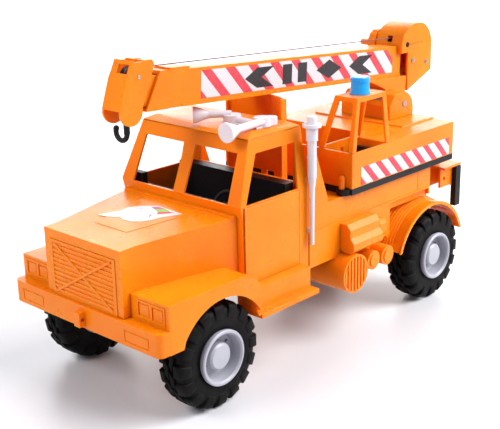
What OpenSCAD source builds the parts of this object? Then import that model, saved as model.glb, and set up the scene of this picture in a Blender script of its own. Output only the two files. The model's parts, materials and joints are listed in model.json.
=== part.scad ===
// Toy crane truck with a slewing turret, a luffing and telescoping boom, a winch and a hook.
// X runs across the truck (+X is its left side), +Y runs towards the rear, +Z is up.
// The origin is on the ground, in the middle of the length and the width. Millimetres.

/* [Wheels] */
// Distance between the axles
wheelbase = 300; // [296:1:304]
// Place of the front axle along Y
front_axle_y = -160; // [-161:0.5:-159]
// Radius of the tyres
tyre_r = 44.25; // [43:0.25:45]
// Inner face of each tyre, from the middle of the truck
tyre_in_x = 58.75; // [58:0.25:60]
// Outer face of each tyre, from the middle of the truck
tyre_out_x = 87.5; // [86:0.25:87.5]
// Outer face of each hub rim, from the middle of the truck
hub_face_x = 90.5; // [90:0.25:92]
// Radius of the hub rim
hub_r = 23; // [22.5:0.25:24]
// Radius of the axle rods
axle_r = 2.5; // [2.5:0.1:2.9]

/* [Truck body] */
// Half width of the cab and the deck
cab_half = 71.25; // [70:0.25:71.5]
// Half width over the fenders and the bumper
fender_half = 89.5; // [88.5:0.25:89.75]
// Front face of the bumper along Y
bumper_y = -225.5; // [-226:0.5:-224]
// Front face of the tow lug along Y
tow_lug_y = -231.5; // [-232:0.5:-231]
// Radius of the tow lug's hole
tow_hole_r = 1.9; // [1.7:0.1:2]
// Height of the front fenders' flat tops
fender_top_z = 105; // [104:0.5:106]
// Height of the window sills
sill_z = 152.5; // [152:0.25:153]
// Height of the roof's top
roof_top_z = 207; // [206.5:0.5:207.5]
// Height of the deck behind the cab
deck_z = 131.5; // [130.5:0.25:131.5]
// Thickness of the moulded walls
wall = 2.5; // [2:0.1:3]

/* [Turret] */
// Place of the slewing axis along Y
slew_y = 125; // [124.5:0.25:126]
// Half width of the turret
turret_half = 77.5; // [76:0.25:77.5]
// Front face of the turret along Y
turret_front_y = 18; // [18:0.5:20]
// Rear face of the turret along Y
turret_rear_y = 181.5; // [181:0.5:182]
// Height of the turret's rim
rim_z = 170; // [169.5:0.25:170.5]
// Height of the raised platform on the rear deck, which carries the pedestal
platform_z = 171.5; // [171:0.25:172]
// Half width of the boom pedestal
pedestal_half = 30; // [29:0.5:31]

/* [Boom] */
// Place of the luffing pivot along Y
luff_y = 165; // [164:0.5:165]
// Height of the luffing pivot
luff_z = 184.5; // [184.5:0.25:185]
// Rest angle of the boom above the horizon, in degrees
boom_tilt = 3.6; // [3.5:0.05:3.7]
// Height of the boom's centre line above the middle of the truck
boom_mid_z = 234.4; // [234.2:0.1:234.8]
// Half width of the boom sleeve
sleeve_half = 10.6; // [10.4:0.1:10.8]
// Half height of the boom sleeve
sleeve_half_h = 15; // [14.8:0.1:15.2]
// Half width of the winch housing
housing_half = 16; // [15:0.5:17]
// Place of the winch axis along Y
winch_y = 188; // [187.5:0.25:188.5]
// Height of the winch axis
winch_z = 239; // [238.5:0.25:239]
// Radius of the hoist line
line_r = 0.5; // [0.4:0.05:0.6]

/* [Hidden] */
$fn = 48;

rear_axle_y = front_axle_y + wheelbase;
axle_z = tyre_r;
axle_fit = 0.08;
pin_fit = 0.06;
gap = 0.3;
skin = 0.25;
orange = "#FF8C1A";
black = "#1B1A1C";
white = "#F2F2F4";
grey = "#D4D6DC";
blue = "#1E9BFF";
red = "#E8344A";

rear_wall_y = -34;
cab_front_y = -116;
deck_end_y = 190;
deck_wall_end_y = 152;
lower_wall_z = 77.5;
ledge_z = 110;
ledge_out = 1;
rail_z0 = 66;
rail_z1 = 76;
rail_x = 24;
bracket_x0 = 30;
bracket_x1 = 38;
bracket_half_y = 7;
arch_r = 49.5;
hub_barrel_r = 21.8;
tyre_bore_r = 22;
pillar_half = 56.9;
window_top_z = 191;
hood_front_z = 139.4;
hood_back_z = 143.8;
cab_top_z = 202.5;
cab_top_half = 62.5;
slew_post_r = 12;
floor_t = 3;
turret_base_z = 138;
skirt_z = 132;
pit_back_y = 88;
divider_x = 38;
crane_roof_z = 218.2;
crane_foot_x = 39;
crane_top_x = 53;
crane_foot_y0 = 18.2;
crane_top_y0 = 24;
crane_top_y1 = 66;
crane_foot_y1 = 74;
lobe_x = 68.5;
lobe_y = 18;
peg_y = 15;
lobe_r = 7;
ear_t = 4;
luff_pin_r = 3;
lug_half = 15;
inner_half = 8;
inner_half_h = 12;
head_half = 11;
pulley_y = -164;
pulley_z = 257;
groove_r = 5;
flange_r = 7;
line_gap = 0.2;
hook_y = pulley_y - groove_r - line_r - line_gap;
hook_ring_r = 6.6;
hook_wire_r = 2.1;
hook_mid_z = 212.5;
hook_eye_z = 226;
drum_r = 5;
drum_flange_r = 7.6;
drum_room_y = 178;
drum_room_z = 230.8;
knob_r = 13;
shaft_r = 2.5;

// ---- helpers ----

// Points of an arc round c, from angle a0 to a1 in degrees, in n steps
function arc(c, r, a0, a1, n) = [for (i = [0:n]) let (a = a0 + (a1 - a0) * i / n) c + r * [cos(a), sin(a)]];

// Box between two corners
module block(a, b) {
  translate(a) cube(b - a);
}

// Outline drawn in Y and Z, extruded from x0 to x1
module side_profile(points, x0, x1) {
  translate([x0, 0, 0]) rotate([90, 0, 90]) linear_extrude(x1 - x0) polygon(points);
}

// Outline drawn in X and Z, extruded from y0 to y1
module front_profile(points, y0, y1) {
  translate([0, y1, 0]) rotate([90, 0, 0]) linear_extrude(y1 - y0) polygon(points);
}

// Outline drawn in X and Y, extruded from z0 to z1
module plan_profile(points, z0, z1) {
  translate([0, 0, z0]) linear_extrude(z1 - z0) polygon(points);
}

// Round bar along X from x0 to x1
module bar_x(r, x0, x1, y, z) {
  translate([x0, y, z]) rotate([0, 90, 0]) cylinder(r = r, h = x1 - x0);
}

// Round bar along Y from y0 to y1, with an end radius of its own
module bar_y(r0, r1, x, y0, y1, z) {
  translate([x, y0, z]) rotate([-90, 0, 0]) cylinder(r1 = r0, r2 = r1, h = y1 - y0);
}

module both_sides() {
  children();
  mirror([1, 0, 0]) children();
}

// The boom's own frame: its centre line lies along Y, tipped up towards the front
module boom_frame() {
  translate([0, 0, boom_mid_z]) rotate([-boom_tilt, 0, 0]) children();
}

// ---- chassis ----

module axle_bracket(y) {
  difference() {
    block([bracket_x0, y - bracket_half_y, axle_z - bracket_half_y],
          [bracket_x1, y + bracket_half_y, rail_z1 - 1]);
    bar_x(axle_r + axle_fit, bracket_x0 - 1, bracket_x1 + 1, y, axle_z);
  }
}

module deck_side() {
  seam_y = 130;
  difference() {
    block([cab_half - wall, rear_wall_y, ledge_z - 1], [cab_half, deck_wall_end_y, deck_z]);
    // Vertical seam between two moulded panels
    block([cab_half - 0.6, seam_y, ledge_z], [cab_half + 1, seam_y + 0.9, deck_z + 1]);
  }
  // Ledge that runs on over the rear fender
  block([cab_half - wall, 83, ledge_z - 1.6], [cab_half + ledge_out, deck_wall_end_y - 3, ledge_z]);
  block([cab_half - wall, rear_wall_y, lower_wall_z], [cab_half + ledge_out, 84, ledge_z]);
  block([55, deck_wall_end_y - wall, ledge_z - 8], [cab_half, deck_wall_end_y, deck_z]);
  block([55, deck_wall_end_y - wall, ledge_z - 8], [55 + wall, deck_end_y, deck_z]);
}

module chassis() {
  bracket_top_z = 124;
  color(orange) {
    // Ladder frame: rails, cross members and axle brackets
    both_sides() {
      block([rail_x, -214, rail_z0], [rail_x + 4, 192, rail_z1]);
      block([rail_x, -212.4, rail_z1 - 3], [56, -150, rail_z1]);
      axle_bracket(front_axle_y);
      axle_bracket(rear_axle_y);
      deck_side();
    }
    for (y = [-214, -120, -34, 82, 188]) block([-rail_x - 1, y, rail_z0], [rail_x + 1, y + 4, rail_z1]);
    for (y = [front_axle_y, rear_axle_y])
      block([-bracket_x1, y - 9, rail_z1 - 3], [bracket_x1, y + 9, rail_z1]);
    // Walls between the frame and the deck
    for (y = [rear_wall_y, 82]) block([-cab_half + 1, y, rail_z1 - 2], [cab_half - 1, y + wall, deck_z - 1]);
    both_sides() block([40, rear_axle_y + 36, rail_z1 - 3], [43, deck_end_y, deck_z - 1]);
    block([-43, deck_end_y - wall, rail_z1 - 3], [43, deck_end_y, deck_z - 1]);
    both_sides() block([rail_x, deck_end_y - 8, rail_z1 - 3], [43, deck_end_y, rail_z1]);
    // Deck, with the slewing post
    block([-cab_half, rear_wall_y, deck_z - wall], [cab_half, deck_wall_end_y, deck_z]);
    block([-55 - wall, deck_wall_end_y - 1, deck_z - wall], [55 + wall, deck_end_y, deck_z]);
    translate([0, slew_y, deck_z - 1]) cylinder(r = slew_post_r + 8, h = 1.2);
    translate([0, slew_y, deck_z - 1])
      cylinder(r = slew_post_r, h = turret_base_z + floor_t + 0.4 - deck_z + 1);
    // Rear bracket, with drilled side plates
    block([-cab_half, 189.5, 102], [cab_half, 192, bracket_top_z]);
    block([-cab_half - 4, 172, bracket_top_z - 2.2], [cab_half + 4, 202, bracket_top_z]);
    both_sides() difference() {
      block([cab_half - wall, 171, 103], [cab_half, 192, bracket_top_z - 1]);
      bar_x(2, cab_half - 4, cab_half + 1, 177.5, 111.5);
    }
    // Slanted side plates behind the cab
    both_sides() side_profile([[rear_wall_y, deck_z - 1], [rear_wall_y, 192.3], [-29, 192.3],
                               [-6.5, deck_z - 1]], cab_half - wall, cab_half);
  }
}

// ---- cab ----

// Outline of the cab's side, from the front wall to the rear wall
cab_outline = [
  [cab_front_y, lower_wall_z], [cab_front_y, 142.5], [-118.5, sill_z], [-98.3, cab_top_z],
  [rear_wall_y - gap, cab_top_z], [rear_wall_y - gap, lower_wall_z]
];
side_window = [[-111.5, sill_z], [-92, window_top_z], [-44, window_top_z], [-48, sill_z]];

// Front of the cab, which leans in above the sills, drawn in by the wall thickness t
function cab_front(t, z0, rise) = [
  [-cab_half + t, z0], [-cab_half + t, sill_z], [-cab_top_half + t, cab_top_z],
  [-cab_top_half + t, cab_top_z + rise], [cab_top_half - t, cab_top_z + rise], [cab_top_half - t, cab_top_z],
  [cab_half - t, sill_z], [cab_half - t, z0]
];

module cab_shell() {
  color(orange) difference() {
    intersection() {
      side_profile(cab_outline, -cab_half, cab_half);
      front_profile(cab_front(0, lower_wall_z - 1, 1), -125, -30);
    }
    // Hollow inside, open at the top
    intersection() {
      side_profile([[cab_front_y + wall, lower_wall_z + wall], [cab_front_y + wall, 143], [-116, sill_z],
                    [-95.8, cab_top_z], [-95.8, cab_top_z + 2], [rear_wall_y - gap - wall, cab_top_z + 2],
                    [rear_wall_y - gap - wall, lower_wall_z + wall]], -cab_half, cab_half);
      front_profile(cab_front(wall, lower_wall_z, 3), -125, -30);
    }
    // Windscreen in two panes, side windows and the wide rear opening
    both_sides() front_profile([[6.25, sill_z], [6.25, window_top_z + 0.5],
                                [pillar_half - 2.5, window_top_z + 0.5], [pillar_half, sill_z]], -125, -90);
    side_profile(side_window, -cab_half - 1, cab_half + 1);
    block([-56, rear_wall_y - 6, 154], [56, rear_wall_y + 1, 190]);
    // Recess for each door panel, and the groove in front of it
    both_sides() block([cab_half - 1, -115, 85], [cab_half + 1, -46.5, sill_z - 1]);
    both_sides() block([cab_half - 1.5, -115.4, 85], [cab_half + 1, -113.8, sill_z - 1]);
  }
}

module cab_roof() {
  edge_z = cab_top_z + 0.1;
  top_half = cab_top_half - 6.5;
  color(orange) intersection() {
    front_profile([[-cab_top_half, edge_z], [-cab_top_half, edge_z + 0.8], [-top_half, roof_top_z],
                   [top_half, roof_top_z], [cab_top_half, edge_z + 0.8], [cab_top_half, edge_z]], -120, -30);
    side_profile([[-98.8, edge_z], [-98.8, edge_z + 0.8], [-88, roof_top_z], [-42, roof_top_z],
                  [-35, edge_z + 0.8], [-35, edge_z]], -cab_half - 1, cab_half + 1);
  }
}

module door_left() {
  color(orange) {
    block([cab_half - 0.9, -113.6, 85.4], [cab_half + 0.3, -46.9, sill_z - 1.2]);
  }
}

module cab_seat() {
  seat_half = 64;
  color(black) {
    block([-seat_half, -56, 100], [seat_half, -46, 157]);
    block([-seat_half, -92, 96], [seat_half, -55, 118]);
    // Dash and the steering wheel on its column
    block([-seat_half, -112, 96], [seat_half, -102, 147]);
    block([-66, -110, 146], [-54, -104, 158]);
    translate([34, -98, 143]) rotate([60, 0, 0]) rotate_extrude() translate([12, 0]) circle(r = 1.6, $fn = 24);
    translate([34, -98, 143]) rotate([60, 0, 0]) block([-12, -1.2, -0.8], [12, 1.2, 0.8]);
    translate([34, -98, 143]) rotate([60, 0, 0]) translate([0, 0, -1]) cylinder(r = 3, h = 2.5);
    translate([34, -98, 143]) rotate([60, 0, 0]) cylinder(r = 1.6, h = 9);
    block([-seat_half + 2, -112, 80.5], [seat_half - 2, -46, 96.5]);
  }
}

// ---- hood and grille ----

// Solid of the hood, drawn in by the wall thickness t
module hood_solid(t) {
  intersection() {
    plan_profile([[-46.5 + t, -222 + t], [46.5 - t, -222 + t], [46.5 - t, -208], [65.25 - t, -116.3 - t * 0.1],
                  [-65.25 + t, -116.3 - t * 0.1], [-46.5 + t, -208]], 60, 150);
    side_profile([[-230, 86 - t * 10], [-230, hood_front_z - t], [-116, hood_back_z - t],
                  [-110, hood_back_z - t], [-110, 86 - t * 10]], -90, 90);
  }
}

module hood() {
  color(orange) difference() {
    union() {
      hood_solid(0);
      // Cowl steps below the windscreen
      block([-65, -122, 142.5], [65, -117.2, 145.2]);
      // Embossed centre panel
      intersection() {
        plan_profile([[-19, -192], [19, -192], [30, -131], [48, -122], [-48, -122], [-30, -131]], 138, 150);
        side_profile([[-230, 138], [-230, hood_front_z + 0.4], [-116, hood_back_z + 0.4],
                      [-116, 138]], -60, 60);
      }
    }
    hood_solid(wall);
    // Opening behind the grille
    block([-40, -223, 84], [40, -218, 132]);
  }
}

module grille() {
  slats = 11;
  z0 = 85.4;
  z1 = 131.6;
  pitch = (z1 - z0 - 5) / slats;
  color(orange) {
    difference() {
      block([-39.7, -222.6, z0], [39.7, -219.4, z1]);
      block([-36.5, -223, z0 + 2.5], [36.5, -221.4, z1 - 2.5]);
    }
    for (i = [0:slats - 1])
      block([-37, -222.3, z0 + 2.5 + i * pitch], [37, -221.2, z0 + 2.5 + (i + 0.55) * pitch]);
    // Two crossed braces over the slats
    for (s = [-1, 1]) translate([0, -222.9, (z0 + z1) / 2]) rotate([0, s * 30.5, 0])
      block([-40, 0, -1.1], [40, 1.6, 1.1]);
  }
}

// ---- bumper, fenders, lamps and steps ----

module front_bumper() {
  z0 = 66.5;
  z1 = 85.2;
  corner_r = 5;
  back_y = -215.1;
  color(orange) {
    difference() {
      union() {
        block([-fender_half + corner_r, bumper_y, z0], [fender_half - corner_r, back_y, z1]);
        both_sides() translate([fender_half - corner_r, bumper_y + corner_r, z0])
          cylinder(r = corner_r, h = z1 - z0);
        both_sides() block([fender_half - corner_r, bumper_y + corner_r, z0], [fender_half, back_y, z1]);
      }
      // Hollow back, and the shallow frames of the side markers
      block([-fender_half + wall, bumper_y + wall, z0 - 1], [fender_half - wall, -210, z1 - wall]);
      both_sides() difference() {
        block([50, bumper_y - 1, 70], [78, bumper_y + 0.6, 80]);
        block([51.5, bumper_y - 2, 71.5], [76.5, bumper_y + 1, 78.5]);
      }
    }
    // Tow lug with a cross hole
    difference() {
      block([-3.5, tow_lug_y, 69], [3.5, bumper_y + 1, 81]);
      bar_x(tow_hole_r, -5, 5, tow_lug_y + 3.3, 75);
    }
  }
}

// Outline of a front fender's side, and of the wheel arch in it
fender_outline = concat(
  [[-215, 66], [-215, fender_top_z], [-136, fender_top_z]],
  arc([-136, 84], 21, 90, 8, 8),
  [[-115.5, 66]]
);
arch_outline = concat(
  [[-118.8, 60], [-118.8, 68]],
  arc([front_axle_y + 2, axle_z], arch_r, 29, 146, 18),
  [[-201, 66.3], [-201, 60]]
);
fender_inside = concat(
  [[-215 + wall, 60], [-215 + wall, fender_top_z - wall], [-136, fender_top_z - wall]],
  arc([-136, 84], 21 - wall, 90, 8, 8),
  [[-118, 60]]
);

module front_fender_left() {
  inner_x = 47;
  color(orange) {
    difference() {
      side_profile(fender_outline, inner_x, fender_half);
      side_profile(fender_inside, inner_x - 1, fender_half - wall);
      side_profile(arch_outline, fender_half - wall - 1, fender_half + 1);
      // Clear of the hood, which widens towards the cab
      plan_profile([[40, -208], [46.8, -208], [65.6, -116], [40, -116]], 50, fender_top_z + 1);
      block([40, -218, 50], [46.8, -207.9, fender_top_z + 1]);
      block([40, -116, 50], [72.6, -112, fender_top_z + 1]);
      // Window for the lamp unit
      block([54, -216, 87.5], [85.5, -215 + wall + 0.1, 102.5]);
    }
  }
}

module headlamp_left() {
  color(orange) {
    difference() {
      block([54.2, -215.6, 87.7], [85.3, -213.2, 102.3]);
      for (x = [56, 71.2]) block([x, -216, 89.5], [x + 12.4, -214.4, 100.5]);
    }
    for (x = [57.2, 72.4]) block([x, -215.2, 90.7], [x + 10, -214.2, 99.3]);
  }
}

module step_left() {
  color(orange) {
    block([cab_half + 0.1, -114, 66], [81.25, -44, 85]);
    block([cab_half + 0.1, -114.6, 62], [fender_half, -42, 66.1]);
  }
}

module rear_fender_left() {
  c = [rear_axle_y - 2, axle_z - 2];
  outer_r = 55.5;
  bands = 6;
  band_w = 2.8;
  first_x = 56;
  back_y = deck_wall_end_y - wall - 0.1;
  color(orange) {
    // Outer sweep, thin at its lower edges
    side_profile(concat(arc(c, outer_r, 20, 161, 26), arc(c, outer_r - 2.3, 161, 20, 26)), first_x, 85);
    side_profile(concat(arc(c, outer_r + 0.7, 19, 162, 26), arc(c, outer_r - 1, 162, 19, 26)), 83.4, 85);
    // Bands that step up towards the deck
    for (i = [0:bands - 1]) side_profile(concat(
      arc(c, outer_r + 0.6 * (bands - i), 62, 161, 18),
      arc(c, outer_r - 1, 161, 62, 18)
    ), first_x + i * band_w, first_x + (i + 1) * band_w);
    // Shelf and inner wall that join the deck's side
    side_profile(concat(arc(c, outer_r, 79, 128, 10), [[rear_axle_y - 50, ledge_z - 2], [back_y, ledge_z - 2]]),
                 first_x - 2.4, first_x);
    block([first_x - 2.4, rear_axle_y - 53, ledge_z - 9], [cab_half - wall - 0.2, back_y, ledge_z - 2]);
  }
}

module rear_light_panel() {
  lamp_w = 6;
  color(black) difference() {
    union() {
      block([-76, 192.2, 106], [76, 201, 121.6]);
      both_sides() block([76 - lamp_w, 192.2, 80], [76, 201, 107]);
    }
    block([-74, 199, 108], [74, 202, 119.5]);
  }
}

// ---- fittings on the truck ----

module horn_trumpet(length, bell_r, tube_r) {
  bar_y(bell_r, bell_r, 0, 0, 2.2, 0);
  bar_y(bell_r, tube_r, 0, 2.2, 14, 0);
  bar_y(tube_r, tube_r, 0, 13, length, 0);
}

module roof_horns() {
  horn_z = 210.1;
  color(white) {
    // Long trumpet on the left, with its sound unit and foot
    translate([53, -114, 210.2]) rotate([2, 0, 0]) horn_trumpet(46, 8.2, 3.2);
    translate([50, -68, roof_top_z + 0.1]) cylinder(r = 7, h = 7.5);
    translate([50, -58, roof_top_z + 0.1]) cylinder(r = 6, h = 6);
    block([44, -68, roof_top_z + 0.1], [55.5, -58, roof_top_z + 5]);
    // Short trumpet in the middle, turned inwards
    translate([-2, -96, horn_z + 4.2]) rotate([0, 0, -46]) horn_trumpet(32, 7, 3);
    translate([22, -74, roof_top_z + 0.1]) cylinder(r = 7.5, h = 7);
    // Bridge between the two sound units
    bar_x(2.8, 22, 51, -74, horn_z);
    block([18, -80, roof_top_z + 0.1], [55, -70, roof_top_z + 1.5]);
  }
}

module exhaust_stack() {
  x = 75.6;
  y = -35;
  color(white) {
    translate([x, y, 101]) cylinder(r1 = 1.9, r2 = 2.4, h = 50);
    translate([x, y, 150]) cylinder(r1 = 2.4, r2 = 3.9, h = 12);
    translate([x, y, 161]) cylinder(r = 3.9, h = 32);
    translate([x, y, 192.5]) cylinder(r = 5, h = 13);
    translate([x, y, 204]) cylinder(r = 8, h = 2.6);
    translate([x, y, 206]) cylinder(r = 4.4, h = 7);
    // Clamps to the cab's rear corner
    for (z = [112, 176]) block([cab_half + 0.1, y - 1.5, z], [x, y + 1.5, z + 3]);
  }
}

module boom_rest() {
  half = 33.5;
  bend_r = 60;
  y_back = -9.7;
  top_z = boom_mid_z - sleeve_half_h / cos(boom_tilt) - (y_back + 0.5) * tan(boom_tilt) - 0.5;
  spread = asin(half / bend_r);
  color(orange) {
    difference() {
      plan_profile(concat(
        arc([0, y_back - bend_r], bend_r, 90 - spread, 90 + spread, 16),
        arc([0, y_back - bend_r - wall], bend_r, 90 + spread, 90 - spread, 16)
      ), deck_z + 0.1, top_z);
      both_sides() block([3, -60, deck_z + 6], [14, 0, 150]);
    }
    // Feet and the cradle ledge
    both_sides() block([half - 5, -26, deck_z + 0.1], [half, -14, deck_z + 3]);
    both_sides() block([half - 2.4, -25, deck_z + 0.1], [half, -18, top_z]);
  }
}

module air_tank() {
  r = 17.8;
  y = 12;
  z = 63;
  bars = 7;
  color(orange) {
    // Notched on top, where the deck's side wall stands
    difference() {
      bar_x(r, 45, 86, y, z);
      block([cab_half - wall - 0.1, y - r, lower_wall_z - 0.1], [cab_half + ledge_out + 0.1, y + r, z + r + 1]);
    }
    bar_x(3, 40, 46, y - 8, z + 8);
    intersection() {
      bar_x(r - 2, 85, 88, y, z);
      for (i = [0:bars - 1]) block([85, y - 15.4 + i * 4.6, z - r], [88, y - 13.2 + i * 4.6, z + r]);
    }
    difference() {
      bar_x(r, 85, 87.6, y, z);
      bar_x(r - 2, 84, 89, y, z);
    }
  }
}

module battery_box() {
  color(orange) {
    front_profile([[cab_half + ledge_out + 0.1, 84], [cab_half + ledge_out + 0.1, 108], [80, 108], [84, 103],
                   [84, 96], [88, 91], [88, 85], [84, 81.1], [77, 81.1]], 8, 52);
    front_profile([[cab_half + ledge_out + 0.1, 88], [cab_half + ledge_out + 0.1, 102], [81, 102], [84.6, 98],
                   [84.6, 90], [81, 88]], 52, 62);
  }
}

module brake_reservoirs() {
  color(orange) {
    bar_x(9, 62, 84, 43.5, 66);
    bar_x(6, 84, 85.2, 43.5, 66);
    bar_x(9.3, 60, 85, 63.5, 65.5);
    bar_x(6.3, 85, 86.2, 63.5, 65.5);
    block([60, 43, 70], [70, 64, lower_wall_z - 0.1]);
  }
}

module slew_cap() {
  z = turret_base_z + floor_t + 0.4;
  color(black) {
    translate([0, slew_y, z]) cylinder(r = slew_post_r + 5, h = 2.4);
    translate([0, slew_y, z + 2.4]) cylinder(r = 4, h = 1.4, $fn = 6);
  }
}

// Outline of the hood's label: a rounded patch between two pointed ends
hood_label_outline = [
  [-33, -2], [-15, 7], [-11, 14], [-2, 17.5], [8, 16.5], [14, 16.5], [37, -5],
  [20, -12], [14, -17.5], [6, -20.5], [-2, -20], [-9.5, -15], [-13, -9], [-24.5, -7]
];

module hood_label() {
  slope = atan((hood_back_z - hood_front_z) / 114);
  label_z = 142.66;
  color(white) translate([-7, -157, label_z]) rotate([slope, 0, 0]) rotate([0, 0, 39])
    linear_extrude(skin) polygon(hood_label_outline);
}

// ---- wheels ----

module axle(y) {
  color(grey) bar_x(axle_r, -84, 84, y, axle_z);
}

// Wheel parts are drawn on the Z axis, with their outer face up, and turned into place
module place_wheel(y, side) {
  translate([0, y, axle_z]) rotate([0, side * 90, 0]) children();
}

module hub_shape() {
  face = hub_face_x;
  rotate_extrude($fn = 64) polygon([
    [axle_r + 0.02, 60.5], [8, 60.5], [8, 74], [hub_barrel_r - wall, 76], [hub_barrel_r - wall, 60.5],
    [hub_barrel_r, 60.5], [hub_barrel_r, face - 2.9], [hub_r, face - 2.9], [hub_r, face - 0.8],
    [hub_r - 0.8, face], [hub_r - 2.4, face], [hub_r - 3.6, face - 1.4], [hub_r - 4.6, 79.5],
    [11.6, 78.2], [11.2, face - 5], [9.6, face - 3.4], [0, face - 3], [0, 84.4], [axle_r + 0.02, 84.4]
  ]);
}

module hub_at(y, side) {
  color(grey) place_wheel(y, side) difference() {
    hub_shape();
    for (a = [118, 298]) rotate([0, 0, a]) translate([15.4, 0, 70]) cylinder(r = 1.5, h = 15);
  }
}

module tyre_at(y, side) {
  mid = (tyre_out_x + tyre_in_x) / 2;
  color(black) place_wheel(y, side) rotate_extrude($fn = 96) polygon([
    [tyre_bore_r, tyre_in_x + 2], [28, tyre_in_x], [39, tyre_in_x + 1], [43, tyre_in_x + 4],
    [tyre_r, tyre_in_x + 8], [tyre_r, mid - 2], [tyre_r, mid + 2], [tyre_r, tyre_out_x - 8],
    [43, tyre_out_x - 4], [39, tyre_out_x - 1], [28, tyre_out_x], [tyre_bore_r, tyre_out_x - 0.2]
  ]);
}

// ---- turret ----

module turret_body() {
  lid_z = rim_z - wall;
  color(orange) {
    difference() {
      block([-turret_half, turret_front_y, turret_base_z], [turret_half, turret_rear_y, rim_z]);
      // Open tray at the front, split by the crane cab's side wall
      block([-turret_half + wall, turret_front_y + wall, turret_base_z + floor_t],
            [divider_x - wall, pit_back_y, rim_z + 1]);
      block([divider_x, turret_front_y + wall, turret_base_z + floor_t], [turret_half - wall, 72, rim_z + 1]);
      // Hollow under the rear deck
      block([-turret_half + wall, pit_back_y + wall, turret_base_z + floor_t],
            [turret_half - wall, turret_rear_y - wall, lid_z]);
      // Bore for the slewing post
      translate([0, slew_y, turret_base_z - 1]) cylinder(r = slew_post_r + pin_fit, h = floor_t + 2);
      // Slots in the divider
      for (y = [28, 52]) block([divider_x - wall - 1, y, 158], [divider_x + 1, y + 4, 163]);
    }
    // Raised platform under the boom's pedestal
    block([-54, 127.5, rim_z - 1], [54, turret_rear_y - 1, platform_z]);
  }
}

module turret_skirt() {
  color(black) difference() {
    union() {
      block([-turret_half, turret_front_y, skirt_z], [turret_half, turret_rear_y, turret_base_z]);
      translate([lobe_x, lobe_y, skirt_z]) cylinder(r = lobe_r, h = 5.6);
    }
    block([-turret_half + wall, turret_front_y + wall, skirt_z - 1],
          [turret_half - wall, turret_rear_y - wall, turret_base_z - 2]);
    translate([0, slew_y, skirt_z - 1]) cylinder(r = slew_post_r + 3, h = 8);
    translate([lobe_x, peg_y, skirt_z - 1]) cylinder(r = 2.02, h = 8);
  }
}

module lock_peg() {
  color(orange) {
    translate([lobe_x, peg_y, skirt_z + 0.5]) cylinder(r = 2, h = 6);
    translate([lobe_x, peg_y, 137.7]) cylinder(r = 2.7, h = 10.5);
    translate([lobe_x, peg_y, 148.2]) cylinder(r1 = 2.7, r2 = 1.8, h = 1.4);
  }
}

// The crane cab narrows upwards: the outline is drawn in by t
module crane_cab_solid(t) {
  intersection() {
    front_profile([[crane_foot_x + t, rim_z + 0.1], [crane_top_x + t, crane_roof_z - t],
                   [turret_half - t, crane_roof_z - t], [turret_half - t, rim_z + 0.1]], 0, 100);
    side_profile([[crane_foot_y0 + t, rim_z + 0.1], [crane_top_y0 + t, crane_roof_z - t],
                  [crane_top_y1 - t, crane_roof_z - t], [crane_foot_y1 - t, rim_z + 0.1]], 0, 100);
  }
}

module crane_cab() {
  post = 4.6;
  opening_z = crane_roof_z - 4.5;
  color(orange) difference() {
    crane_cab_solid(0);
    difference() {
      crane_cab_solid(2.4);
      block([0, 0, 160], [100, 100, rim_z + 1]);
    }
    block([45, 24, 160], [turret_half - 5, 67, 180]);
    // Side openings
    side_profile([[crane_foot_y0 + post + 1, 160], [crane_foot_y0 + post + 1, rim_z],
                  [crane_top_y0 + post, opening_z], [crane_top_y1 - post, opening_z],
                  [crane_foot_y1 - post - 1, rim_z], [crane_foot_y1 - post - 1, 160]], 30, 90);
    // Front and rear openings
    front_profile([[crane_foot_x + post + 1, 160], [crane_foot_x + post + 1, rim_z],
                   [crane_top_x + post, opening_z], [turret_half - post, opening_z],
                   [turret_half - post, 160]], 10, 90);
  }
}

module crane_cab_seat() {
  color(black) {
    block([divider_x + 0.6, 21, turret_base_z + floor_t + 0.1], [turret_half - wall - 0.4, 71.6, 146]);
    block([46, 50, 145.9], [70, 68, 153]);
    block([46, 63, 152.9], [70, 68, 164]);
  }
}

module beacon() {
  color(blue) translate([66, 43, crane_roof_z + 0.1]) {
    cylinder(r = 9, h = 1.6);
    translate([0, 0, 1.5]) cylinder(r1 = 8.6, r2 = 8, h = 9.6);
    translate([0, 0, 11]) cylinder(r = 8.7, h = 3.4);
    translate([0, 0, 14.3]) cylinder(r1 = 8.2, r2 = 7.4, h = 0.9);
  }
}

// Side of the pedestal: flat front, and a top rounded towards the rear
pedestal_outline = concat(
  [[180.4, platform_z + 0.1], [180.4, 178]],
  arc([161.4, 178], 19, 0, 100, 14),
  [[149, 195], [140, 185], [140, platform_z + 0.1]]
);

module boom_pedestal() {
  color(orange) difference() {
    side_profile(pedestal_outline, -pedestal_half, pedestal_half);
    // Space for the boom's lug, open above and behind
    block([-lug_half - 1, 144, platform_z + 2], [lug_half + 1, 190, 200]);
    block([-lug_half - 1, 176, platform_z - 1], [lug_half + 1, 200, 200]);
    both_sides() side_profile([[144, platform_z - 1], [144, 184], [151, 192], [162, 194], [171, 191],
                               [177, 182], [177, platform_z - 1]], lug_half + 1 + ear_t, pedestal_half - wall);
    bar_x(luff_pin_r + pin_fit, -pedestal_half - 1, pedestal_half + 1, luff_y, luff_z);
  }
}

module luff_pin() {
  color(grey) {
    bar_x(luff_pin_r, -pedestal_half - 0.5, pedestal_half + 0.5, luff_y, luff_z);
  }
}

// Striped labels on the turret's sides
module turret_labels() {
  color(red) both_sides()
    side_profile([[31, 139], [31, 155.5], [174, 155.5], [174, 139]], turret_half, turret_half + skin);
}

// ---- boom ----

// Outline of the lug below the boom, from the boom's bottom to the pivot
module boom_lug() {
  side_profile(concat(
    [[112, 214.5], [134, 207.5], [152, 199.5]],
    arc([luff_y, luff_z], 8.5, 150, 300, 12),
    [[187, 191.5], [189, 209], [186, 222], [120, 226]]
  ), -lug_half, lug_half);
}

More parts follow.
